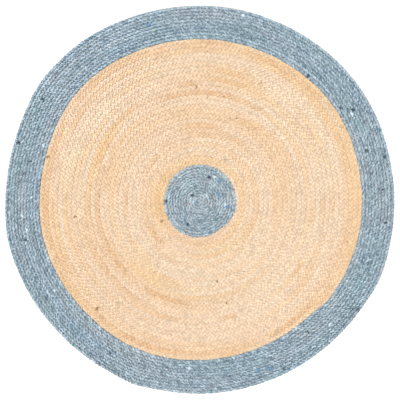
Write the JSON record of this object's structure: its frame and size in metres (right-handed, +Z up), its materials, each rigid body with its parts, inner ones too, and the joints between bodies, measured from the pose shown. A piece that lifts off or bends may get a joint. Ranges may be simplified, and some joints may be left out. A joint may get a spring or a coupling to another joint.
{
  "type": "round braided rug",
  "caption": "Round flat rug of braided yarn coiled in a spiral, with a blue-grey centre, a natural jute field and a blue-grey border.",
  "frame": {"origin": "on the floor, under the middle of the rug's outline", "axes": "+Z up, out of the rug's upper face; +Y towards the top of the picture"},
  "size_m": [1.8276, 1.8224, 0.01],
  "materials": {
    "blue_centre_yarn": "matt heathered blue-grey yarn, braided",
    "natural_jute_yarn": "matt natural jute, braided in a flat plait",
    "blue_border_yarn": "matt heathered blue-grey yarn, braided"
  },
  "bodies": {
    "root": {"centre_braid": "blue_centre_yarn", "field_braid": "natural_jute_yarn", "border_braid": "blue_border_yarn"}
  },
  "joints": []
}
